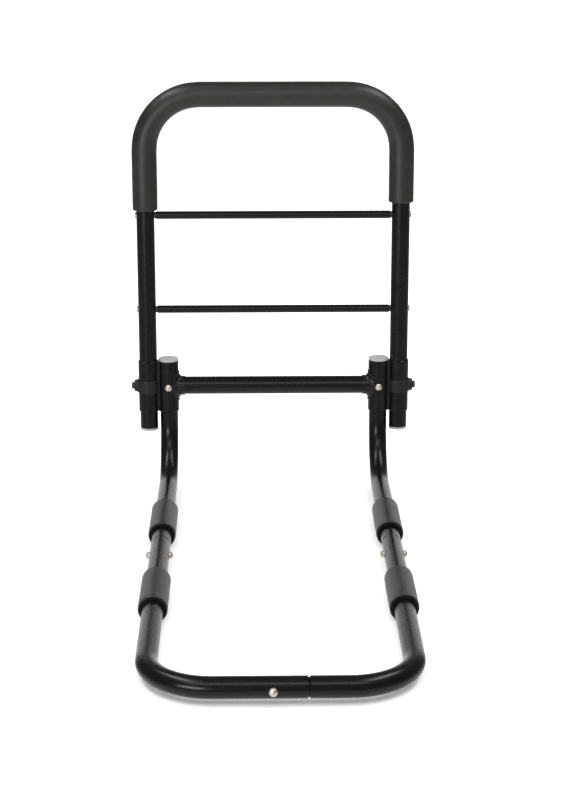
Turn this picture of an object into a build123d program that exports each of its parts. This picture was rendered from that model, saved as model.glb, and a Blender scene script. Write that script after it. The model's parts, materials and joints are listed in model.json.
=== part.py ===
from build123d import *
import os
from math import sqrt

# Bed assist rail: an inverted-U handle with a foam grip and two rungs stands in a pair of sleeves, and a
# bent-tube base with foam sleeves lies flat under the mattress to hold it upright.
# Millimetres. +X along the bed's edge, -Y in under the mattress, +Z up. The origin is at the middle of
# the whole outline, level with the underside of the base's foam sleeves.

# Tube stock
TUBE_OD = 25.4
BASE_WALL = 1.5
HANDLE_WALL = 1.0
BEND_RADIUS = 76.2

# Layout of the base
LEG_SPACING = 302.0
BASE_DEPTH = 760.0
JOINT_DEPTH = 316.0
BAR_JOINT_X = 29.0
CROSSBAR_HEIGHT = 146.0

# Foam sleeves on the base
LEG_FOAM_THICKNESS = 5.3
LEG_FOAM_LENGTH = 98.5
REAR_FOAM_DEPTH = 180.0
FRONT_FOAM_DEPTH = 439.0
FOAM_SLIP = 0.1

# Tube joints: one end is drawn down and slips inside its neighbour
SLIP_FIT = 0.08
SPIGOT_LENGTH = 60.0
SWAGE_GAP = 3.0
SWAGE_CONE = 1.8
SNAP_FROM_JOINT = 38.0

# Snap buttons and their flat hairpin springs
SNAP_DIAMETER = 9.5
SNAP_HOLE_ROOM = 0.4
SNAP_PROUD = 4.7
SNAP_DOME_RADIUS = 6.2
SNAP_FOOT_LAP = 0.55
SNAP_FOOT = 0.6
SNAP_FOOT_GAP = 0.3
STRIP_WIDTH = 8.0
STRIP_THICKNESS = 0.5
STRIP_TAIL = 8.0
STRIP_LENGTH = 30.0

# Brackets: a leg sleeve and a handle sleeve side by side
SLEEVE_FIT = 0.1
SLEEVE_WALL = 1.5
SLEEVE_GAP = 0.4
SLEEVE_LENGTH = 75.0
SLEEVE_EDGE = 0.5
WEB_WIDTH = 4.0
WEB_INSET = 1.0
CAP_THICKNESS = 3.0
CAP_PLUG = 8.0
CAP_EDGE = 0.7
PLUG_FIT = 0.05

# Fillet welds where the crossbar meets the leg sleeves, with a thin toe on both
WELD_RADIUS = 7.6
WELD_TOE = 0.4
WELD_TOE_REACH = 0.8
WELD_EDGE = 6.4

# Lock collars and their push buttons
COLLAR_HEIGHT = 18.5
COLLAR_WALL = 1.8
COLLAR_GAP = 0.2
COLLAR_EDGE = 0.6
BOSS_WALL = 3.2
BOSS_FLARE = 1.0
BOSS_REACH = 6.0
BOSS_LIP = 1.2
LOCK_BUTTON_DIAMETER = 10.0
LOCK_BUTTON_REACH = 10.0
LOCK_BUTTON_FIT = 0.1
LOCK_BUTTON_EDGE = 1.4
LOCK_FLANGE_LAP = 1.2
LOCK_FLANGE = 1.2
LOCK_FLANGE_ROOM = 0.3
LOCK_PIN_DIAMETER = 6.0
LOCK_PIN_ROOM = 0.3
LOCK_NOSE_INSET = 0.2
LOCK_PIN_REACH = 1.8
LOCK_PIN_GAP = 0.3

# Handle
HANDLE_TOP = 564.0
HANDLE_END = 84.0
END_PLUG_FLANGE = 3.5
END_PLUG_LENGTH = 12.0
END_PLUG_EDGE = 1.0
GRIP_THICKNESS = 4.95
GRIP_END_LEFT = 402.5
GRIP_END_RIGHT = 413.0

# Rungs, the threaded inserts in their ends and the screws that hold them
RUNG_HEIGHTS = {"lower": 258.8, "upper": 394.8}
RUNG_OD = 11.0
RUNG_WALL = 1.0
RUNG_NECK = 2.5
INSERT_DEPTH = 14.0
SCREW_DIAMETER = 5.0
SCREW_HOLE_ROOM = 0.2
SCREW_HEAD_DIAMETER = 8.6
SCREW_HEAD = 2.0
SCREW_HEAD_FLOOR = 0.5
SCREW_HEAD_EDGE = 0.8
SCREW_REACH = 11.0
SCREW_SLOT = 0.9
SCREW_SLOT_LENGTH = 4.4
SCREW_SLOT_DEPTH = 1.1

# Worked out from the sizes above
TUBE_R = TUBE_OD / 2
BASE_BORE_R = TUBE_R - BASE_WALL
HANDLE_BORE_R = TUBE_R - HANDLE_WALL
SPIGOT_R = BASE_BORE_R - SLIP_FIT
SPIGOT_BORE_R = SPIGOT_R - BASE_WALL
SLEEVE_BORE_R = TUBE_R + SLEEVE_FIT
SLEEVE_R = SLEEVE_BORE_R + SLEEVE_WALL
SLEEVE_OD = 2 * SLEEVE_R
SLEEVE_PITCH = SLEEVE_OD + SLEEVE_GAP
SLEEVE_TOP = CROSSBAR_HEIGHT + SLEEVE_LENGTH / 2
SLEEVE_BOTTOM = CROSSBAR_HEIGHT - SLEEVE_LENGTH / 2
LEG_Z = TUBE_R + LEG_FOAM_THICKNESS
LEG_TOP = SLEEVE_TOP - CAP_PLUG - WEB_INSET
GRIP_R = TUBE_R + GRIP_THICKNESS
FRONT_REACH = BASE_DEPTH + TUBE_R + SNAP_PROUD
REAR_Y = (FRONT_REACH - GRIP_R) / 2
FRONT_Y = REAR_Y - BASE_DEPTH
JOINT_Y = REAR_Y - JOINT_DEPTH
SNAP_HOLE_R = SNAP_DIAMETER / 2 + SNAP_HOLE_ROOM
SNAP_FOOT_R = SNAP_HOLE_R + SNAP_FOOT_LAP
LOCK_BUTTON_R = LOCK_BUTTON_DIAMETER / 2
LOCK_FLANGE_R = LOCK_BUTTON_R + LOCK_FLANGE_LAP
LOCK_PIN_R = LOCK_PIN_DIAMETER / 2
LOCK_PIN_HOLE_R = LOCK_PIN_R + LOCK_PIN_ROOM
SCREW_R = SCREW_DIAMETER / 2
BOSS_TIP_R = LOCK_BUTTON_R + LOCK_BUTTON_FIT + BOSS_WALL
BOSS_BASE_R = BOSS_TIP_R + BOSS_FLARE
BOSS_TIP = SLEEVE_R + BOSS_REACH
LOCK_LIP = BOSS_TIP - BOSS_LIP
LOCK_PIN_TIP = SLEEVE_R + LOCK_PIN_REACH
SIDES = {"left": -1, "right": 1}
RISING = (Align.CENTER, Align.CENTER, Align.MIN)
SINKING = (Align.CENTER, Align.CENTER, Align.MAX)


def leg_x(side):
    """X of the leg, upright and leg sleeve on one side."""
    return side * LEG_SPACING / 2


def handle_x(side):
    """X of the handle tube and its sleeve on one side."""
    return side * (LEG_SPACING / 2 + SLEEVE_PITCH)


def rod(start, direction, radius, length):
    """A cylinder that starts at a point and runs in a direction."""
    return Plane(origin=start, z_dir=direction) * Cylinder(radius, length, align=RISING)


def pipe(start, direction, outer, bore, length):
    """A straight pipe that starts at a point and runs in a direction."""
    return rod(start, direction, outer, length) - rod(start, direction, bore, length)


def bent_pipe(corners, outer, bore):
    """A pipe along straight runs joined by bends of the stock radius."""
    path = FilletPolyline(*corners, radius=BEND_RADIUS)
    section = Plane(origin=path @ 0, z_dir=path % 0) * (Circle(outer) - Circle(bore))
    return sweep(section, path=path)


def spigot(start, direction):
    """The drawn-down end of a base tube, from the end of its full diameter."""
    neck = SWAGE_GAP - SWAGE_CONE + SPIGOT_LENGTH
    outside = Cone(TUBE_R, SPIGOT_R, SWAGE_CONE, align=RISING)
    outside += Pos(0, 0, SWAGE_CONE) * Cylinder(SPIGOT_R, neck, align=RISING)
    bore = Cone(BASE_BORE_R, SPIGOT_BORE_R, SWAGE_CONE, align=RISING)
    bore += Pos(0, 0, SWAGE_CONE) * Cylinder(SPIGOT_BORE_R, neck, align=RISING)
    return Plane(origin=start, z_dir=direction) * (outside - bore)


def snap_hole(centre, direction):
    """The cutter for a snap button's hole, from a tube's axis outwards."""
    return rod(centre, direction, SNAP_HOLE_R, SLEEVE_OD)


# Snap buttons: each one rides on a spring inside the inner tube and comes out through the outer one


def snap_foot_top(bore):
    """How far from the tube's axis the foot of a button stops against the bore."""
    return sqrt(bore**2 - SNAP_FOOT_R**2) - SNAP_FOOT_GAP


def snap_pin(centre, direction, bore, surface):
    """A domed button with a foot wider than its hole."""
    foot_top = snap_foot_top(bore)
    tip = surface + SNAP_PROUD
    dome_middle = tip - SNAP_DOME_RADIUS
    shank = Pos(0, 0, dome_middle) * Cylinder(SNAP_DIAMETER / 2, SNAP_DOME_RADIUS, align=RISING)
    shank &= Pos(0, 0, dome_middle) * Sphere(SNAP_DOME_RADIUS)
    shank += Pos(0, 0, foot_top) * Cylinder(SNAP_DIAMETER / 2, dome_middle - foot_top, align=RISING)
    shank += Pos(0, 0, foot_top - SNAP_FOOT) * Cylinder(SNAP_FOOT_R, SNAP_FOOT, align=RISING)
    return Plane(origin=centre, z_dir=direction) * shank


def hairpin(upper, lower):
    """A flat spring bent into a hairpin along X, with arms at +Z and -Z and its bend at +X."""
    middle = (upper - lower) / 2
    half = (upper + lower) / 2
    outside = Pos(0, middle) * Rectangle(STRIP_TAIL + STRIP_LENGTH, 2 * half)
    outside = Pos((STRIP_LENGTH - STRIP_TAIL) / 2, 0) * outside + Pos(STRIP_LENGTH, middle) * Circle(half)
    inner = half - STRIP_THICKNESS
    inside = Pos(0, middle) * Rectangle(STRIP_TAIL + STRIP_LENGTH, 2 * inner)
    inside = Pos((STRIP_LENGTH - STRIP_TAIL) / 2, 0) * inside + Pos(STRIP_LENGTH, middle) * Circle(inner)
    return extrude(Plane.XZ * (outside - inside), STRIP_WIDTH / 2, both=True)


def resting_arm(bore):
    """How far from the axis a strip's flat back lies when its edges rest in a bore."""
    return sqrt((bore - PLUG_FIT) ** 2 - (STRIP_WIDTH / 2) ** 2)


def snap_clip(centre, along, direction, bore, twin):
    """The hairpin spring under one button, or under two opposite ones."""
    upper = snap_foot_top(bore) - SNAP_FOOT
    lower = upper if twin else resting_arm(bore)
    return Plane(origin=centre, x_dir=along, z_dir=direction) * hairpin(upper, lower)


# Base


def rear_leg(side):
    """An upright that bends forward and ends in a spigot."""
    x = leg_x(side)
    corners = [(x, REAR_Y, LEG_TOP), (x, REAR_Y, LEG_Z), (x, JOINT_Y + SWAGE_GAP, LEG_Z)]
    leg = bent_pipe(corners, TUBE_R, BASE_BORE_R)
    leg += spigot((x, JOINT_Y + SWAGE_GAP, LEG_Z), (0, -1, 0))
    leg -= snap_hole((x, REAR_Y, CROSSBAR_HEIGHT), (0, -1, 0))
    for way in (-1, 1):
        leg -= snap_hole((x, JOINT_Y - SNAP_FROM_JOINT, LEG_Z), (way, 0, 0))
    return leg


def front_leg(side):
    """A leg that bends across into its half of the front bar."""
    x = leg_x(side)
    bar_end = BAR_JOINT_X if side < 0 else BAR_JOINT_X + SWAGE_GAP
    corners = [(x, JOINT_Y, LEG_Z), (x, FRONT_Y, LEG_Z), (bar_end, FRONT_Y, LEG_Z)]
    leg = bent_pipe(corners, TUBE_R, BASE_BORE_R)
    if side > 0:
        leg += spigot((bar_end, FRONT_Y, LEG_Z), (-1, 0, 0))
    leg -= snap_hole((BAR_JOINT_X - SNAP_FROM_JOINT, FRONT_Y, LEG_Z), (0, -1, 0))
    for way in (-1, 1):
        leg -= snap_hole((x, JOINT_Y - SNAP_FROM_JOINT, LEG_Z), (way, 0, 0))
    return leg


def leg_foam(side, depth):
    """A foam sleeve on a leg."""
    start = (leg_x(side), REAR_Y - depth, LEG_Z)
    return pipe(start, (0, -1, 0), LEG_Z, TUBE_R + FOAM_SLIP, LEG_FOAM_LENGTH)


def base_nodes():
    """Legs, their foam sleeves and every snap button with its spring."""
    nodes = {}
    for name, side in SIDES.items():
        x = leg_x(side)
        joint = (x, JOINT_Y - SNAP_FROM_JOINT, LEG_Z)
        upright = (x, REAR_Y, CROSSBAR_HEIGHT)
        nodes[f"rear_leg_{name}"] = rear_leg(side)
        nodes[f"front_leg_{name}"] = front_leg(side)
        nodes[f"rear_foam_{name}"] = leg_foam(side, REAR_FOAM_DEPTH)
        nodes[f"front_foam_{name}"] = leg_foam(side, FRONT_FOAM_DEPTH)
        nodes[f"leg_pin_{name}"] = snap_pin(upright, (0, -1, 0), BASE_BORE_R, SLEEVE_R)
        nodes[f"leg_clip_{name}"] = snap_clip(upright, (0, 0, -1), (0, -1, 0), BASE_BORE_R, False)
        nodes[f"joint_pin_{name}_outer"] = snap_pin(joint, (side, 0, 0), SPIGOT_BORE_R, TUBE_R)
        nodes[f"joint_pin_{name}_inner"] = snap_pin(joint, (-side, 0, 0), SPIGOT_BORE_R, TUBE_R)
        nodes[f"joint_clip_{name}"] = snap_clip(joint, (0, 1, 0), (side, 0, 0), SPIGOT_BORE_R, True)
    bar = (BAR_JOINT_X - SNAP_FROM_JOINT, FRONT_Y, LEG_Z)
    nodes["bar_pin"] = snap_pin(bar, (0, -1, 0), SPIGOT_BORE_R, TUBE_R)
    nodes["bar_clip"] = snap_clip(bar, (1, 0, 0), (0, -1, 0), SPIGOT_BORE_R, False)
    return nodes


# Brackets


def sleeve_body(x):
    """A plain sleeve with eased ends."""
    body = pipe((x, REAR_Y, SLEEVE_BOTTOM), (0, 0, 1), SLEEVE_R, SLEEVE_BORE_R, SLEEVE_LENGTH)
    mid_wall = (SLEEVE_R + SLEEVE_BORE_R) / 2
    rims = body.edges().filter_by(GeomType.CIRCLE).filter_by(lambda edge: edge.radius > mid_wall)
    return chamfer(rims, SLEEVE_EDGE)


def leg_sleeve(side):
    """The sleeve that the upright slips into, with its snap button's hole."""
    return sleeve_body(leg_x(side)) - snap_hole((leg_x(side), REAR_Y, CROSSBAR_HEIGHT), (0, -1, 0))


def handle_sleeve(side):
    """The sleeve that the handle slides in, with its lock pin's hole."""
    centre = (handle_x(side), REAR_Y, CROSSBAR_HEIGHT)
    return sleeve_body(handle_x(side)) - rod(centre, (side, 0, 0), LOCK_PIN_HOLE_R, SLEEVE_OD)


def sleeve_web(side):
    """The weld that fills the valley between the two sleeves."""
    middle = side * (LEG_SPACING / 2 + SLEEVE_PITCH / 2)
    from_axis = (SLEEVE_PITCH - WEB_WIDTH) / 2
    depth = 2 * sqrt(SLEEVE_R**2 - from_axis**2)
    height = SLEEVE_LENGTH - 2 * WEB_INSET
    web = Pos(middle, REAR_Y, CROSSBAR_HEIGHT) * Box(WEB_WIDTH, depth, height)
    for x in (leg_x(side), handle_x(side)):
        web -= rod((x, REAR_Y, SLEEVE_BOTTOM), (0, 0, 1), SLEEVE_R, SLEEVE_LENGTH)
    return web


def sleeve_cap(side):
    """The flat plug in the top of a leg sleeve."""
    top = (leg_x(side), REAR_Y, SLEEVE_TOP)
    disc = rod(top, (0, 0, 1), SLEEVE_R, CAP_THICKNESS)
    disc = fillet(disc.edges().sort_by(Axis.Z)[-1], CAP_EDGE)
    return disc + rod(top, (0, 0, -1), SLEEVE_BORE_R - PLUG_FIT, CAP_PLUG)


def crossbar():
    """The bar between the leg sleeves, coped to sit on them."""
    bar = pipe((leg_x(-1), REAR_Y, CROSSBAR_HEIGHT), (1, 0, 0), TUBE_R, BASE_BORE_R, LEG_SPACING)
    for side in SIDES.values():
        bar -= rod((leg_x(side), REAR_Y, SLEEVE_BOTTOM), (0, 0, 1), SLEEVE_R, SLEEVE_LENGTH)
    return bar


def crossbar_weld(side):
    """The fillet weld that runs round the crossbar's end and on to the leg sleeve."""
    centre = (leg_x(side), REAR_Y, CROSSBAR_HEIGHT)
    reach = SLEEVE_R + WELD_TOE + WELD_RADIUS + WELD_TOE_REACH
    spread = TUBE_R + WELD_TOE + WELD_RADIUS + WELD_TOE_REACH
    sleeve = rod((leg_x(side), REAR_Y, SLEEVE_BOTTOM), (0, 0, 1), SLEEVE_R + WELD_TOE, SLEEVE_LENGTH)
    body = sleeve + rod(centre, (-side, 0, 0), TUBE_R + WELD_TOE, 2 * reach)
    body = fillet(body.edges().filter_by(GeomType.BSPLINE), WELD_RADIUS)
    start = (leg_x(side) - side * WELD_EDGE, REAR_Y, CROSSBAR_HEIGHT)
    body &= rod(start, (-side, 0, 0), spread, reach - WELD_EDGE)
    body -= rod((leg_x(side), REAR_Y, SLEEVE_BOTTOM), (0, 0, 1), SLEEVE_R, SLEEVE_LENGTH)
    return body - rod(centre, (-side, 0, 0), TUBE_R, 2 * reach)


def lock_collar(side):
    """A plastic collar round the handle sleeve, with a boss for its push button."""
    x = handle_x(side)
    centre = (x, REAR_Y, CROSSBAR_HEIGHT)
    bottom = (x, REAR_Y, CROSSBAR_HEIGHT - COLLAR_HEIGHT / 2)
    ring = rod(bottom, (0, 0, 1), SLEEVE_R + COLLAR_WALL, COLLAR_HEIGHT)
    ring = chamfer(ring.edges().filter_by(GeomType.CIRCLE), COLLAR_EDGE)
    boss = Cone(BOSS_BASE_R, BOSS_TIP_R, BOSS_REACH, align=RISING)
    boss = fillet(boss.edges().sort_by(Axis.Z)[-1], COLLAR_EDGE)
    boss = Pos(0, 0, SLEEVE_R) * boss + Cylinder(BOSS_BASE_R, SLEEVE_R, align=RISING)
    boss = Plane(origin=centre, z_dir=(side, 0, 0)) * boss
    boss &= rod(bottom, (0, 0, 1), 2 * BOSS_TIP, COLLAR_HEIGHT)
    collar = ring + boss
    collar -= rod(bottom, (0, 0, 1), SLEEVE_R, COLLAR_HEIGHT)
    collar -= rod(centre, (side, 0, 0), LOCK_BUTTON_R + LOCK_BUTTON_FIT, 2 * BOSS_TIP)
    collar -= rod(centre, (side, 0, 0), LOCK_FLANGE_R + LOCK_FLANGE_ROOM, LOCK_LIP)
    inboard = (leg_x(side), REAR_Y, bottom[2])
    collar -= rod(inboard, (0, 0, 1), SLEEVE_R + COLLAR_GAP, COLLAR_HEIGHT)
    middle = side * (LEG_SPACING / 2 + SLEEVE_PITCH / 2)
    web_room = Box(WEB_WIDTH + 2 * COLLAR_GAP, SLEEVE_OD, COLLAR_HEIGHT)
    return collar - Pos(middle, REAR_Y, CROSSBAR_HEIGHT) * web_room


def lock_button(side):
    """A push button held in by its flange, with a nose that faces the lock pin."""
    nose_tip = LOCK_PIN_TIP + LOCK_PIN_GAP
    tip = SLEEVE_R + LOCK_BUTTON_REACH
    flange_back = LOCK_LIP - LOCK_FLANGE
    stem = Cylinder(LOCK_BUTTON_R, tip - LOCK_LIP, align=RISING)
    stem = Pos(0, 0, LOCK_LIP) * fillet(stem.edges().sort_by(Axis.Z)[-1], LOCK_BUTTON_EDGE)
    flange = Pos(0, 0, flange_back) * Cylinder(LOCK_FLANGE_R, LOCK_FLANGE, align=RISING)
    nose = Cylinder(LOCK_PIN_R - LOCK_NOSE_INSET, flange_back - nose_tip, align=RISING)
    button = stem + flange + Pos(0, 0, nose_tip) * nose
    return Plane(origin=(handle_x(side), REAR_Y, CROSSBAR_HEIGHT), z_dir=(side, 0, 0)) * button


def bracket_nodes():
    """Crossbar, sleeves, welds, caps, collars and push buttons."""
    nodes = {"crossbar": crossbar()}
    for name, side in SIDES.items():
        nodes[f"leg_sleeve_{name}"] = leg_sleeve(side)
        nodes[f"handle_sleeve_{name}"] = handle_sleeve(side)
        nodes[f"sleeve_web_{name}"] = sleeve_web(side)
        nodes[f"sleeve_cap_{name}"] = sleeve_cap(side)
        nodes[f"crossbar_weld_{name}"] = crossbar_weld(side)
        nodes[f"lock_collar_{name}"] = lock_collar(side)
        nodes[f"lock_button_{name}"] = lock_button(side)
    return nodes


# Handle


def handle_tube():
    """The inverted-U tube with its screw holes and lock pin holes."""
    left, right = handle_x(-1), handle_x(1)
    corners = [(left, REAR_Y, HANDLE_END), (left, REAR_Y, HANDLE_TOP)]
    corners += [(right, REAR_Y, HANDLE_TOP), (right, REAR_Y, HANDLE_END)]
    tube = bent_pipe(corners, TUBE_R, HANDLE_BORE_R)
    for side in SIDES.values():
        for height in RUNG_HEIGHTS.values():
            outboard = (handle_x(side) + side * TUBE_OD, REAR_Y, height)
            tube -= rod(outboard, (-side, 0, 0), SCREW_R + SCREW_HOLE_ROOM, 2 * TUBE_OD)
        tube -= rod((handle_x(side), REAR_Y, CROSSBAR_HEIGHT), (side, 0, 0), LOCK_PIN_HOLE_R, TUBE_OD)
    return tube


def grip():
    """The foam grip over the top of the handle, longer on the left."""
    left, right = handle_x(-1), handle_x(1)
    corners = [(left, REAR_Y, GRIP_END_LEFT), (left, REAR_Y, HANDLE_TOP)]
    corners += [(right, REAR_Y, HANDLE_TOP), (right, REAR_Y, GRIP_END_RIGHT)]
    return bent_pipe(corners, GRIP_R, TUBE_R + FOAM_SLIP)


def rung(height):
    """A thin tube across the handle, held off the handle's tubes by its inserts."""
    half = handle_x(1) - TUBE_R - RUNG_NECK
    return pipe((-half, REAR_Y, height), (1, 0, 0), RUNG_OD / 2, RUNG_OD / 2 - RUNG_WALL, 2 * half)


def rung_insert(side, height):
    """A threaded insert in a rung's end, with a neck that seats on the handle's tube."""
    bore_r = RUNG_OD / 2 - RUNG_WALL
    axis = (handle_x(side), REAR_Y, height)
    insert = rod(axis, (-side, 0, 0), bore_r - PLUG_FIT, TUBE_R + RUNG_NECK + INSERT_DEPTH)
    insert -= rod(axis, (-side, 0, 0), SCREW_R, 2 * TUBE_OD)
    return insert - rod((axis[0], REAR_Y, height - RUNG_OD), (0, 0, 1), TUBE_R, 2 * RUNG_OD)


def rung_screw(side, height):
    """A cross-recessed screw through the handle's tube into a rung's insert."""
    axis = (handle_x(side), REAR_Y, height)
    top = TUBE_R + SCREW_HEAD
    head = Cylinder(SCREW_HEAD_DIAMETER / 2, top, align=RISING)
    head = fillet(head.edges().sort_by(Axis.Z)[-1], SCREW_HEAD_EDGE)
    for turn in (0, 90):
        slot = Box(SCREW_SLOT, SCREW_SLOT_LENGTH, SCREW_SLOT_DEPTH, align=SINKING)
        head -= Pos(0, 0, top) * Rot(0, 0, turn) * slot
    head = Plane(origin=axis, z_dir=(side, 0, 0)) * head
    head -= rod((axis[0], REAR_Y, height - RUNG_OD), (0, 0, 1), TUBE_R, 2 * RUNG_OD)
    start = (axis[0] + side * (TUBE_R + SCREW_HEAD_FLOOR), REAR_Y, height)
    return head + rod(start, (-side, 0, 0), SCREW_R, TUBE_OD + SCREW_REACH)


def handle_end_plug(side):
    """The plug in a handle tube's lower end."""
    end = (handle_x(side), REAR_Y, HANDLE_END)
    flange = rod(end, (0, 0, -1), TUBE_R, END_PLUG_FLANGE)
    flange = fillet(flange.edges().sort_by(Axis.Z)[0], END_PLUG_EDGE)
    return flange + rod(end, (0, 0, 1), HANDLE_BORE_R - PLUG_FIT, END_PLUG_LENGTH)


def handle_lock_clip(side):
    """The handle's hairpin spring, with the pin that locks it in its sleeve."""
    upper = resting_arm(HANDLE_BORE_R) - SNAP_FOOT_GAP
    pin = Pos(0, 0, upper) * Cylinder(LOCK_PIN_R, LOCK_PIN_TIP - upper, align=RISING)
    clip = hairpin(upper, resting_arm(HANDLE_BORE_R)) + pin
    hole = (handle_x(side), REAR_Y, CROSSBAR_HEIGHT)
    return Plane(origin=hole, x_dir=(0, 0, 1), z_dir=(side, 0, 0)) * clip


def handle_nodes():
    """The handle with its grip, rungs, inserts, screws, plugs and lock springs."""
    nodes = {"handle_tube": handle_tube(), "handle_foam_grip": grip()}
    for level, height in RUNG_HEIGHTS.items():
        nodes[f"{level}_rung"] = rung(height)
        for name, side in SIDES.items():
            nodes[f"{level}_rung_insert_{name}"] = rung_insert(side, height)
            nodes[f"{level}_rung_screw_{name}"] = rung_screw(side, height)
    for name, side in SIDES.items():
        nodes[f"handle_end_plug_{name}"] = handle_end_plug(side)
        nodes[f"handle_lock_clip_{name}"] = handle_lock_clip(side)
    return nodes


os.makedirs("parts", exist_ok=True)
for node, shape in {**base_nodes(), **bracket_nodes(), **handle_nodes()}.items():
    export_step(shape, f"parts/{node}.step")
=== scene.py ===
import json
import math

import bpy
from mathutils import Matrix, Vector, noise


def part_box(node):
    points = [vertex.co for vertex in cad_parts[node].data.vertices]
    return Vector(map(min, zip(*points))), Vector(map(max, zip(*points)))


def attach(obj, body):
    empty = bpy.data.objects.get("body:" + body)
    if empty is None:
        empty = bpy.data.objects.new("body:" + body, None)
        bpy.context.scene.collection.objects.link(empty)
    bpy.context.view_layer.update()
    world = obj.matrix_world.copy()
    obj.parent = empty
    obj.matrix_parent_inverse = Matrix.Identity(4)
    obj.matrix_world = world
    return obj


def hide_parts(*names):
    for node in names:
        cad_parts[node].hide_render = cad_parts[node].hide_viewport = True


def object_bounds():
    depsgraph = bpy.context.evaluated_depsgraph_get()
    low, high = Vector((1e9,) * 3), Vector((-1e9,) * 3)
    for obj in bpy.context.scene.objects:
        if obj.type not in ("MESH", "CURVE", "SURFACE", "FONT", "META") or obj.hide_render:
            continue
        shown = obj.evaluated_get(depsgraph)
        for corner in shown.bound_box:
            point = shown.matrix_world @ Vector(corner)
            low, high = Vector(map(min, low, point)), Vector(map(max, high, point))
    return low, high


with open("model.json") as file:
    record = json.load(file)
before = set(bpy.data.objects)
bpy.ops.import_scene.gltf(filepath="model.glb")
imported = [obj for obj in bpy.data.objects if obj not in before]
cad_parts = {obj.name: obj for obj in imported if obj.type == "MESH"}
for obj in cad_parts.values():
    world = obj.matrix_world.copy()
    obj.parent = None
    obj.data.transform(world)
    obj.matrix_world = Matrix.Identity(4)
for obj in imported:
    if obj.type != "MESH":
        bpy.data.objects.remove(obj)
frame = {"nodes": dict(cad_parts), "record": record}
CAD_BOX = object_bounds()

# The looks of a bed assist rail: powder-coated tube, foam sleeves, moulded plugs and collars, nickel snap
# buttons and painted welds. Everything is in metres, in the row frame, and takes its place from the frame.

# Camera, measured from the line between the two uprights at floor level
CAMERA_FROM_UPRIGHTS = Vector((-0.0284, -2.7278, 0.9157))
CAMERA_PITCH = math.radians(-16.0)
CAMERA_YAW = math.radians(1.05)
CAMERA_LENS = 89.9
CAMERA_SENSOR = 36.0

# Foam sleeves
BEND_RADIUS = 0.0762
GRIP_STEP = 0.0105
FOAM_SIDES = 72
FOAM_RING = 0.003
FOAM_EDGE = 0.0017
FOAM_EDGE_RINGS = 6
FOAM_FACE_RINGS = 5
FOAM_DISH = 0.0005
FOAM_WAVE = 0.00016
FOAM_WAVE_SCALE = 34.0
FOAM_SLIP = 0.0001
BEND_THINNING = 0.0003

# Weld beads: the fillet weld's radius and toe, as in the part, and the ripples of a hand-run bead
WELD_RADIUS = 0.0076
WELD_TOE = 0.0004
BEAD_RADIUS = 0.00095
BEAD_RIPPLE = 0.00038
BEAD_SIDES = 10
RIPPLE_SPACING = 0.0019
STEPS_PER_RIPPLE = 5
BEAD_FLATNESS = 0.7
BEAD_NOISE_SCALE = 600

# Studio: how bright each part of the surroundings looks, and how far the floor reaches
DOME = 1.25
SWEEP = 1.25
WHITE_FLOOR = 0.85
SURROUNDINGS = 0.12
FLOOR = 40.0

# Directions between which the reflected sweep fades in backwards and out upwards, and the floor fades out
SWEEP_BACK = (0.78, 0.93)
SWEEP_TOP = (0.3, 0.4)
FLOOR_EDGE = (-0.5, -0.12)

# Soft lights: place and aim from the uprights' line at floor level, width, height, watts, and whether the
# light also lights the surfaces or only shows in reflections
BASE_MIDDLE = (0.0, 0.0, 0.2)
FRONT_CORNER = (-0.1, -0.76, 0.02)
LIGHTS = {
    "key": ((-0.1, -1.53, 1.3), BASE_MIDDLE, 1.6, 0.45, 5.9, True),
    "front_left": ((-1.05, -2.3, 0.4), FRONT_CORNER, 1.1, 0.3, 14, False),
    "left_strip": ((-1.5, -0.35, 2.8), BASE_MIDDLE, 2.2, 0.3, 32, True),
    "right_strip": ((1.5, -0.35, 2.8), BASE_MIDDLE, 2.2, 0.3, 32, True),
}

RANGE_SOCKETS = ("From Min", "From Max", "To Min", "To Max")


def middle(node):
    """The centre of a CAD node's box."""
    low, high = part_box(node)
    return (Vector(low) + Vector(high)) / 2


def extent(node):
    """The size of a CAD node's box."""
    low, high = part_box(node)
    return Vector(high) - Vector(low)


TUBE_R = extent("crossbar").z / 2
SLEEVE_R = extent("leg_sleeve_right").y / 2
UPRIGHT_Y = middle("crossbar").y
UPRIGHTS = Vector((0, UPRIGHT_Y, 0))
CROSSBAR_Z = middle("crossbar").z


# Materials: each is a small node tree on the Principled shader, with object coordinates in metres


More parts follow.
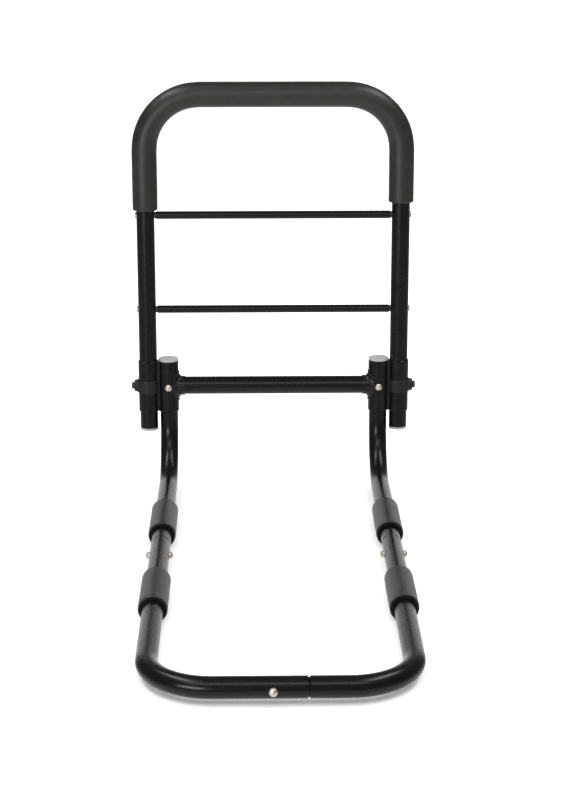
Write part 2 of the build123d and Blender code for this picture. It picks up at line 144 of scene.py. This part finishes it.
class Paint:
    """A material under construction, with its shader and its coordinates."""

    def __init__(self, name, **constants):
        self.material = bpy.data.materials.new(name)
        self.material.use_nodes = True
        self.tree = self.material.node_tree
        self.shader = self.tree.nodes["Principled BSDF"]
        self.place = self.tree.nodes.new("ShaderNodeTexCoord").outputs["Object"]
        for socket, value in constants.items():
            self.shader.inputs[socket.replace("_", " ")].default_value = value

    def add(self, kind, **settings):
        """A node with some of its settings."""
        node = self.tree.nodes.new(kind)
        for key, value in settings.items():
            setattr(node, key, value)
        return node

    def link(self, output, target):
        """Joins two sockets."""
        self.tree.links.new(output, target)

    def grain(self, size, detail=2.0, stretch=None):
        """Noise whose features are about size metres across, from 0 to 1."""
        node = self.add("ShaderNodeTexNoise")
        node.inputs["Scale"].default_value = 1 / size
        node.inputs["Detail"].default_value = detail
        source = self.place
        if stretch:
            mapping = self.add("ShaderNodeMapping")
            mapping.inputs["Scale"].default_value = stretch
            self.link(self.place, mapping.inputs["Vector"])
            source = mapping.outputs["Vector"]
        self.link(source, node.inputs["Vector"])
        return node.outputs["Fac"]

    def cells(self, size):
        """Distances in a cell pattern of about size metres."""
        node = self.add("ShaderNodeTexVoronoi")
        node.inputs["Scale"].default_value = 1 / size
        self.link(self.place, node.inputs["Vector"])
        return node.outputs["Distance"]

    def remap(self, value, low, high, to_low, to_high):
        """value, taken from one range to another and held inside it."""
        node = self.add("ShaderNodeMapRange")
        for socket, number in zip(RANGE_SOCKETS, (low, high, to_low, to_high)):
            node.inputs[socket].default_value = number
        self.link(value, node.inputs["Value"])
        return node.outputs["Result"]

    def mix(self, factor, first, second):
        """A colour between two, each a colour or an output."""
        node = self.add("ShaderNodeMix", data_type="RGBA")
        self.link(factor, node.inputs["Factor"])
        for socket, colour in ((node.inputs[6], first), (node.inputs[7], second)):
            if isinstance(colour, tuple):
                socket.default_value = (*colour, 1)
            else:
                self.link(colour, socket)
        return node.outputs[2]

    def colour(self, output):
        """Sets the shader's colour."""
        self.link(output, self.shader.inputs["Base Color"])

    def roughness(self, output):
        """Sets the shader's roughness."""
        self.link(output, self.shader.inputs["Roughness"])

    def bump(self, height, depth, strength=1.0):
        """Adds relief of about depth metres over the relief that is already there."""
        node = self.add("ShaderNodeBump")
        node.inputs["Strength"].default_value = strength
        node.inputs["Distance"].default_value = depth
        self.link(height, node.inputs["Height"])
        target = self.shader.inputs["Normal"]
        if target.links:
            self.link(target.links[0].from_socket, node.inputs["Normal"])
        self.link(node.outputs["Normal"], target)


def powder_coat():
    """Satin black powder coat: fine orange peel, a little cloudiness and a rare fleck of dust."""
    paint = Paint("powder_coat", Specular_IOR_Level=0.35)
    cloud = paint.remap(paint.grain(0.018, 3.0), 0.3, 0.7, 0.0, 1.0)
    black = paint.mix(cloud, (0.0020, 0.0020, 0.0022), (0.0034, 0.0034, 0.0037))
    speck = paint.remap(paint.grain(0.0006, 1.0), 0.60, 0.72, 0.0, 1.0)
    speckled = paint.mix(speck, black, (0.0055, 0.0055, 0.0058))
    dust = paint.remap(paint.cells(0.011), 0.018, 0.03, 1.0, 0.0)
    paint.colour(paint.mix(dust, speckled, (0.16, 0.16, 0.155)))
    paint.roughness(paint.remap(paint.grain(0.004, 3.0), 0.3, 0.7, 0.24, 0.32))
    paint.bump(paint.grain(0.004, 1.0), 0.000004)
    return paint.material


def weld_coat():
    """The same coat over a weld: thicker and lumpier, with lighter patches that are painted highlight on
    the bead.
    """
    paint = Paint("weld_coat", Specular_IOR_Level=0.4)
    # The lighter patches in this colour are painted highlight, standing in for glints on the weld's
    # ripples.
    cloud = paint.remap(paint.grain(0.002, 2.0), 0.4, 0.62, 0.0, 1.0)
    paint.colour(paint.mix(cloud, (0.0026, 0.0026, 0.0029), (0.0085, 0.0085, 0.009)))
    paint.roughness(paint.remap(paint.grain(0.0015, 2.0), 0.3, 0.7, 0.20, 0.34))
    paint.bump(paint.grain(0.0016, 3.0), 0.00012)
    return paint.material


def foam_skin():
    """The moulded skin of closed-cell foam: matte charcoal, pricked all over by tiny cells, with painted
    shade darkening each pit.
    """
    paint = Paint("foam_skin", Specular_IOR_Level=0.55)
    cloud = paint.remap(paint.grain(0.012, 3.0), 0.3, 0.7, 0.0, 1.0)
    base = paint.mix(cloud, (0.0096, 0.0095, 0.0090), (0.0145, 0.0143, 0.0133))
    # Darker spots at the cell centres are painted shade in the foam's tiny pits.
    pore_shade = paint.remap(paint.cells(0.0009), 0.05, 0.35, 1.0, 0.0)
    paint.colour(paint.mix(pore_shade, base, (0.0058, 0.0057, 0.0053)))
    paint.roughness(paint.remap(paint.grain(0.003, 2.0), 0.3, 0.7, 0.38, 0.46))
    paint.bump(paint.cells(0.0009), 0.00010, 0.8)
    paint.bump(paint.grain(0.0025, 3.0), 0.00012, 0.6)
    return paint.material


def foam_cut():
    """The foam's cut end: open cells, darker than the skin, with painted shade deepening the middle of each
    cell.
    """
    paint = Paint("foam_cut", Specular_IOR_Level=0.12)
    # Darker cell centres are painted shade inside the open cells.
    pore_shade = paint.remap(paint.cells(0.0011), 0.1, 0.5, 0.0, 1.0)
    paint.colour(paint.mix(pore_shade, (0.0025, 0.0025, 0.003), (0.0075, 0.0075, 0.008)))
    paint.roughness(paint.remap(paint.grain(0.002), 0.3, 0.7, 0.85, 1.0))
    paint.bump(paint.cells(0.0011), 0.0004)
    return paint.material


def moulded_grey():
    """Light grey moulded plastic with faint flow marks."""
    paint = Paint("moulded_grey", Specular_IOR_Level=0.42)
    flow = paint.remap(paint.grain(0.005, 4.0, (1.0, 2.6, 1.0)), 0.3, 0.7, 0.0, 1.0)
    paint.colour(paint.mix(flow, (0.255, 0.270, 0.263), (0.320, 0.335, 0.327)))
    paint.roughness(paint.remap(paint.grain(0.0012, 2.0), 0.3, 0.7, 0.38, 0.52))
    paint.bump(paint.grain(0.0008, 2.0), 0.00006)
    return paint.material


def moulded_black(name, shine_low, shine_high, tone):
    """Black moulded plastic with a fine spark-eroded grain."""
    paint = Paint(name, Specular_IOR_Level=0.45)
    cloud = paint.remap(paint.grain(0.004, 3.0), 0.3, 0.7, 0.0, 1.0)
    paint.colour(paint.mix(cloud, (tone, tone, tone * 1.04), (tone * 1.4, tone * 1.4, tone * 1.45)))
    paint.roughness(paint.remap(paint.grain(0.0008, 2.0), 0.3, 0.7, shine_low, shine_high))
    paint.bump(paint.grain(0.0005, 2.0), 0.00005)
    return paint.material


def plated(name, dark, light, shine_low, shine_high):
    """Plated metal with fine rubbed marks and a slightly uneven tone."""
    paint = Paint(name, Metallic=1.0)
    tone = paint.remap(paint.grain(0.0016, 3.0), 0.3, 0.7, 0.0, 1.0)
    paint.colour(paint.mix(tone, dark, light))
    rubbed = paint.grain(0.0009, 3.0, (1.0, 1.0, 5.0))
    paint.roughness(paint.remap(rubbed, 0.3, 0.7, shine_low, shine_high))
    paint.bump(rubbed, 0.00002)
    return paint.material


def sweep_floor():
    """A plain, pale, matte studio floor."""
    paint = Paint("studio_floor", Specular_IOR_Level=0.0, Roughness=1.0)
    cloud = paint.grain(1.5, 2.0)
    paint.colour(paint.mix(cloud, (0.93, 0.93, 0.93), (0.95, 0.95, 0.95)))
    return paint.material


COAT = powder_coat()
WELD = weld_coat()
SKIN = foam_skin()
CUT = foam_cut()
SLOT_MATERIALS = {
    "black_tube": COAT,
    "foam": SKIN,
    "black_plastic": moulded_black("collar_plastic", 0.46, 0.58, 0.0045),
    "black_button": moulded_black("button_plastic", 0.34, 0.46, 0.016),
    "grey_plastic": moulded_grey(),
    "nickel_button": plated("nickel", (0.70, 0.655, 0.59), (0.86, 0.82, 0.76), 0.40, 0.52),
    "zinc_screw": plated("zinc", (0.50, 0.50, 0.51), (0.68, 0.68, 0.69), 0.24, 0.40),
    "dark_insert": moulded_black("insert_coat", 0.36, 0.48, 0.012),
    "spring_steel": plated("spring_steel", (0.30, 0.30, 0.31), (0.42, 0.42, 0.43), 0.28, 0.42),
}


def paint_frame():
    """Gives every CAD node the material of its slot, and the welds their own."""
    for row in frame["record"]["subparts"]:
        node = row["node"]
        welded = node.startswith(("crossbar_weld", "sleeve_web"))
        for slot in frame["nodes"][node].material_slots:
            slot.material = WELD if welded else SLOT_MATERIALS[row["material_slot"]]


# Mesh pieces


def mesh_piece(name, points, faces, materials, cut_faces=()):
    """A smooth mesh object; faces in cut_faces take the second material."""
    mesh = bpy.data.meshes.new(name)
    mesh.from_pydata(points, [], faces)
    for material in materials:
        mesh.materials.append(material)
    for face in mesh.polygons:
        face.use_smooth = True
    for index in cut_faces:
        mesh.polygons[index].material_index = 1
    mesh.update()
    piece = bpy.data.objects.new(name, mesh)
    bpy.context.scene.collection.objects.link(piece)
    return piece


def straight(start, end):
    """(length, function from distance to point, direction and bend inwards) of a straight run."""
    run = end - start
    direction = run.normalized()
    return run.length, lambda s: (start + direction * s, direction, None)


def arc(centre, first, second, radius):
    """The same for a quarter bend that starts at centre + first and ends at centre + second."""

    def at(s):
        angle = s / radius
        outward = first * math.cos(angle) + second * math.sin(angle)
        return centre + outward * radius, second * math.cos(angle) - first * math.sin(angle), -outward

    return radius * math.pi / 2, at


def route_at(runs, s):
    """Point, direction and bend at a distance along a list of runs."""
    for length, at in runs[:-1]:
        if s < length:
            return at(s)
        s -= length
    return runs[-1][1](s)


def foam_rings(length, outer, bore):
    """(distance, radius, is cut) of each ring, once round the foam's closed section."""
    rounded = []
    for i in range(FOAM_EDGE_RINGS, -1, -1):
        angle = i / FOAM_EDGE_RINGS * math.pi / 2
        rounded.append((FOAM_EDGE * (1 - math.sin(angle)), outer - FOAM_EDGE * (1 - math.cos(angle))))
    count = max(2, round((length - 2 * FOAM_EDGE) / FOAM_RING))
    step = (length - 2 * FOAM_EDGE) / count
    skin = [(s, r, False) for s, r in rounded]
    skin += [(FOAM_EDGE + step * i, outer, False) for i in range(1, count)]
    skin += [(length - s, r, False) for s, r in reversed(rounded)]
    face = []
    for i in range(1, FOAM_FACE_RINGS + 1):
        share = i / FOAM_FACE_RINGS
        radius = outer - FOAM_EDGE + (bore - outer + FOAM_EDGE) * share
        face.append((FOAM_DISH * math.sin(math.pi * share), radius))
    far = [(length - s, r, True) for s, r in face]
    near = [(s, r, True) for s, r in reversed(face)]
    inside = [(length - step * i, bore, True) for i in range(1, count)]
    return skin + far + inside + near


def foam_sleeve(name, node, body, runs, normal, outer):
    """A foam tube along a flat route, with soft edges, cut ends and a hand-worn waviness."""
    length = sum(run[0] for run in runs)
    rings = foam_rings(length, outer, TUBE_R + FOAM_SLIP)
    floor = CAD_BOX[0][2]
    points = []
    for s, radius, is_cut in rings:
        centre, direction, inward = route_at(runs, s)
        across = direction.cross(normal)
        for k in range(FOAM_SIDES):
            turn = 2 * math.pi * k / FOAM_SIDES
            out = normal * math.cos(turn) + across * math.sin(turn)
            point = centre + out * radius
            if not is_cut:
                point += out * FOAM_WAVE * noise.noise(point * FOAM_WAVE_SCALE)
                if inward:
                    point += out * BEND_THINNING * out.dot(inward)
            point.z = max(point.z, floor)
            points.append(point)
    faces = []
    cut_faces = []
    for i in range(len(rings)):
        nxt = (i + 1) % len(rings)
        for k in range(FOAM_SIDES):
            step = (k + 1) % FOAM_SIDES
            if rings[i][2] or rings[nxt][2]:
                cut_faces.append(len(faces))
            here = i * FOAM_SIDES
            there = nxt * FOAM_SIDES
            faces.append((here + k, here + step, there + step, there + k))
    piece = mesh_piece(name, points, faces, (SKIN, CUT), cut_faces)
    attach(piece, body)
    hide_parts(node)


def grip():
    """The foam over the handle's top, bends and upper sides."""
    low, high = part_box("handle_foam_grip")
    outer = extent("handle_foam_grip").y / 2
    x = high[0] - outer
    top = high[2] - outer
    y = UPRIGHT_Y
    spring = top - BEND_RADIUS
    left_bend = Vector((-x + BEND_RADIUS, y, spring))
    right_bend = Vector((x - BEND_RADIUS, y, spring))
    up = Vector((0, 0, 1))
    right = Vector((1, 0, 0))
    runs = [
        straight(Vector((-x, y, low[2])), Vector((-x, y, spring))),
        arc(left_bend, -right, up, BEND_RADIUS),
        straight(left_bend + up * BEND_RADIUS, right_bend + up * BEND_RADIUS),
        arc(right_bend, up, right, BEND_RADIUS),
        straight(Vector((x, y, spring)), Vector((x, y, low[2] + GRIP_STEP))),
    ]
    foam_sleeve("grip_foam", "handle_foam_grip", "handle", runs, Vector((0, 1, 0)), outer)


def leg_foams():
    """The four foam sleeves on the base."""
    for place in ("rear", "front"):
        for side in ("left", "right"):
            node = f"{place}_foam_{side}"
            low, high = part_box(node)
            centre = middle(node)
            start = Vector((centre.x, low[1], centre.z))
            end = Vector((centre.x, high[1], centre.z))
            outer = extent(node).x / 2
            runs = [straight(start, end)]
            foam_sleeve(f"{place}_leg_foam_{side}", node, "base", runs, Vector((0, 0, 1)), outer)


def bead(name, body, loop, outwards):
    """A rippled weld bead along a closed loop of points, with the direction out of the metal at each."""
    count = len(loop)
    points = []
    for i in range(count):
        along = (loop[(i + 1) % count] - loop[i - 1]).normalized()
        out = outwards[i]
        across = along.cross(out).normalized()
        phase = (i % STEPS_PER_RIPPLE) / STEPS_PER_RIPPLE
        uneven = noise.noise(loop[i] * BEAD_NOISE_SCALE)
        size = BEAD_RADIUS + BEAD_RIPPLE * (1 - phase) + BEAD_RIPPLE * uneven
        for k in range(BEAD_SIDES):
            turn = 2 * math.pi * k / BEAD_SIDES
            points.append(loop[i] + (out * math.cos(turn) * BEAD_FLATNESS + across * math.sin(turn)) * size)
    faces = []
    for i in range(count):
        nxt = (i + 1) % count
        for k in range(BEAD_SIDES):
            step = (k + 1) % BEAD_SIDES
            here = i * BEAD_SIDES
            there = nxt * BEAD_SIDES
            faces.append((here + k, there + k, there + step, here + step))
    piece = mesh_piece(name, points, faces, (WELD,))
    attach(piece, body)


def weld_loop(side, on_sleeve, count):
    """Where the fillet weld's rolling ball touches the sleeve, or the crossbar, and the way out there."""
    axis_x = middle(f"leg_sleeve_{side}").x
    towards_bar = -math.copysign(1, axis_x)
    sleeve_r = SLEEVE_R + WELD_TOE
    bar_r = TUBE_R + WELD_TOE
    loop = []
    outwards = []
    for i in range(count):
        turn = 2 * math.pi * i / count
        ball_y = (bar_r + WELD_RADIUS) * math.sin(turn)
        ball_z = (bar_r + WELD_RADIUS) * math.cos(turn)
        ball_x = math.sqrt((sleeve_r + WELD_RADIUS) ** 2 - ball_y**2)
        if on_sleeve:
            out = Vector((ball_x * towards_bar, ball_y, 0)).normalized()
            point = out * sleeve_r + Vector((0, 0, ball_z))
        else:
            out = Vector((0, ball_y, ball_z)).normalized()
            point = out * bar_r + Vector((ball_x * towards_bar, 0, 0))
        loop.append(point + Vector((axis_x, UPRIGHT_Y, CROSSBAR_Z)))
        outwards.append(out)
    return loop, outwards


def weld_beads():
    """Rippled beads along both toes of each fillet weld."""
    for side in ("left", "right"):
        for place, on_sleeve in (("sleeve", True), ("bar", False)):
            around = 2 * math.pi * (TUBE_R + WELD_RADIUS / 2)
            count = STEPS_PER_RIPPLE * round(around / RIPPLE_SPACING)
            loop, outwards = weld_loop(side, on_sleeve, count)
            bead(f"weld_toe_{place}_{side}", "base", loop, outwards)


# Studio


def smooth(tree, value, low, high, to_low, to_high):
    """A smooth step of an output from one level to another."""
    node = tree.nodes.new("ShaderNodeMapRange")
    node.interpolation_type = "SMOOTHSTEP"
    for socket, number in zip(RANGE_SOCKETS, (low, high, to_low, to_high)):
        node.inputs[socket].default_value = number
    tree.links.new(value, node.inputs["Value"])
    return node.outputs["Result"]


def maths(tree, operation, first, second):
    """One sum on two outputs."""
    node = tree.nodes.new("ShaderNodeMath")
    node.operation = operation
    tree.links.new(first, node.inputs[0])
    tree.links.new(second, node.inputs[1])
    return node.outputs[0]


def studio_world():
    """An even white dome. Reflections show a studio: a white floor, a bright sweep behind, dark above."""
    world = bpy.data.worlds.new("studio")
    bpy.context.scene.world = world
    world.use_nodes = True
    world.cycles.sampling_method = "NONE"
    tree = world.node_tree
    glow = tree.nodes["Background"]
    glow.inputs["Color"].default_value = (1, 1, 1, 1)
    split = tree.nodes.new("ShaderNodeSeparateXYZ")
    tree.links.new(tree.nodes.new("ShaderNodeTexCoord").outputs["Generated"], split.inputs["Vector"])
    behind = smooth(tree, split.outputs["Y"], *SWEEP_BACK, 0, SWEEP)
    sweep = maths(tree, "MULTIPLY", behind, smooth(tree, split.outputs["Z"], *SWEEP_TOP, 1, 0))
    below = smooth(tree, split.outputs["Z"], *FLOOR_EDGE, WHITE_FLOOR, SURROUNDINGS)
    rays = tree.nodes.new("ShaderNodeLightPath")
    level = tree.nodes.new("ShaderNodeMix")
    tree.links.new(rays.outputs["Is Glossy Ray"], level.inputs["Factor"])
    level.inputs["A"].default_value = DOME
    tree.links.new(maths(tree, "MAXIMUM", sweep, below), level.inputs["B"])
    tree.links.new(level.outputs["Result"], glow.inputs["Strength"])


def soft_light(name, place, aim, width, height, power, fills):
    """A rectangular soft light that the camera doesn't see."""
    data = bpy.data.lights.new(name, "AREA")
    data.shape = "RECTANGLE"
    data.size = width
    data.size_y = height
    data.energy = power
    light = bpy.data.objects.new(name, data)
    light.location = UPRIGHTS + Vector(place)
    light.rotation_euler = (Vector(aim) - Vector(place)).to_track_quat("-Z", "Y").to_euler()
    light.visible_camera = False
    light.visible_diffuse = fills
    bpy.context.scene.collection.objects.link(light)


def studio():
    """The floor and the lights."""
    bpy.context.scene.view_settings.view_transform = "Standard"
    studio_world()
    corners = [(-FLOOR, -FLOOR, 0), (FLOOR, -FLOOR, 0), (FLOOR, FLOOR, 0), (-FLOOR, FLOOR, 0)]
    floor = mesh_piece("floor", [Vector(c) for c in corners], [(0, 1, 2, 3)], (sweep_floor(),))
    floor.visible_glossy = False
    for name, settings in LIGHTS.items():
        soft_light(name, *settings)


def camera():
    """The viewing angle, a little left of the middle and looking down on the base."""
    data = bpy.data.cameras.new("camera")
    data.lens = CAMERA_LENS
    data.sensor_width = CAMERA_SENSOR
    eye = bpy.data.objects.new("camera", data)
    eye.location = CAMERA_FROM_UPRIGHTS + UPRIGHTS
    level = math.cos(CAMERA_PITCH)
    look = Vector((math.sin(CAMERA_YAW) * level, math.cos(CAMERA_YAW) * level, math.sin(CAMERA_PITCH)))
    eye.rotation_euler = look.to_track_quat("-Z", "Y").to_euler()
    bpy.context.scene.collection.objects.link(eye)
    bpy.context.scene.camera = eye


paint_frame()
grip()
leg_foams()
weld_beads()
studio()
camera()
